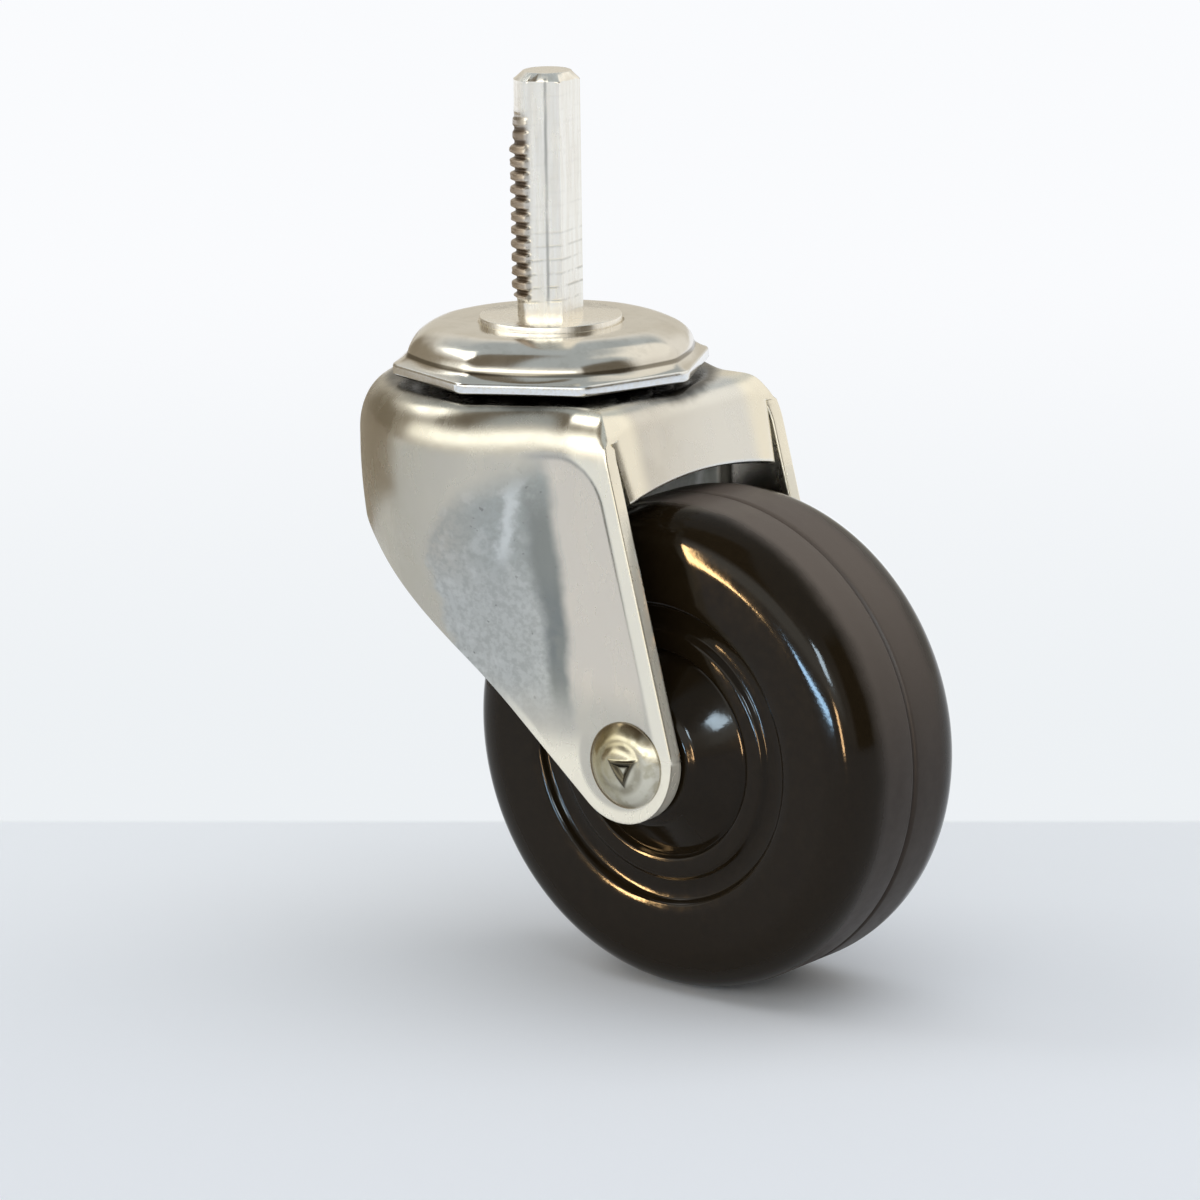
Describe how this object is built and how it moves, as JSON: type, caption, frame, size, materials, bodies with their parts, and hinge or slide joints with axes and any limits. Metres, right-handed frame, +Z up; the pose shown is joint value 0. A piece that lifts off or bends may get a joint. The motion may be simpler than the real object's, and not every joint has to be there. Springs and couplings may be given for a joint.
{
  "type": "stem castor",
  "caption": "Light swivel castor with a threaded stem, a pressed steel fork on a double ball race and a solid rubber wheel.",
  "frame": {"origin": "on the swivel axis, in the plane of the collar's top face that seats against the furniture", "axes": "+Z up the stem, +X towards the wheel with the castor at rest, Y along the wheel's axle"},
  "size_m": [0.0662, 0.0398, 0.0925],
  "materials": {
    "plated_steel": "bright zinc plate over pressed steel, satin where the sheet is drawn",
    "stem_steel": "bright plated, rolled thread and milled flats",
    "rivet_steel": "polished domed heads",
    "ball_steel": "polished bearing balls",
    "wheel_rubber": "moulded hard rubber, glossy on the sides and satin on the tread"
  },
  "bodies": {
    "mounting": {"stem": "stem_steel", "top_cap": "plated_steel", "lower_race_cup": "plated_steel"},
    "swivel_fork": {"fork": "plated_steel", "axle_rivet": "rivet_steel", "axle_tube": "plated_steel"},
    "rolling_wheel": {"wheel": "wheel_rubber"},
    "upper_race": {"upper_ball_1": "ball_steel", "upper_ball_2": "ball_steel", "upper_ball_3": "ball_steel", "upper_ball_4": "ball_steel", "upper_ball_5": "ball_steel", "upper_ball_6": "ball_steel", "upper_ball_7": "ball_steel", "upper_ball_8": "ball_steel", "upper_ball_9": "ball_steel", "upper_ball_10": "ball_steel", "upper_ball_11": "ball_steel", "upper_ball_12": "ball_steel", "upper_ball_13": "ball_steel", "upper_ball_14": "ball_steel"},
    "lower_race": {"lower_ball_1": "ball_steel", "lower_ball_2": "ball_steel", "lower_ball_3": "ball_steel", "lower_ball_4": "ball_steel", "lower_ball_5": "ball_steel", "lower_ball_6": "ball_steel", "lower_ball_7": "ball_steel", "lower_ball_8": "ball_steel", "lower_ball_9": "ball_steel"}
  },
  "joints": [
    {"name": "swivel", "type": "hinge", "parent": "mounting", "child": "swivel_fork", "pos_m": [0, 0, 0], "axis": [0, 0, 1], "continuous": true},
    {"name": "wheel_spin", "type": "hinge", "parent": "swivel_fork", "child": "rolling_wheel", "pos_m": [0.0208, 0, -0.0417], "axis": [0, 1, 0], "continuous": true},
    {"name": "upper_race_roll", "type": "hinge", "parent": "mounting", "child": "upper_race", "pos_m": [0, 0, 0], "axis": [0, 0, 1], "continuous": true},
    {"name": "lower_race_roll", "type": "hinge", "parent": "mounting", "child": "lower_race", "pos_m": [0, 0, 0], "axis": [0, 0, 1], "continuous": true}
  ],
  "couplings": [
    {"joint": "upper_race_roll", "follows": "swivel", "ratio": 0.5},
    {"joint": "lower_race_roll", "follows": "swivel", "ratio": 0.5}
  ]
}
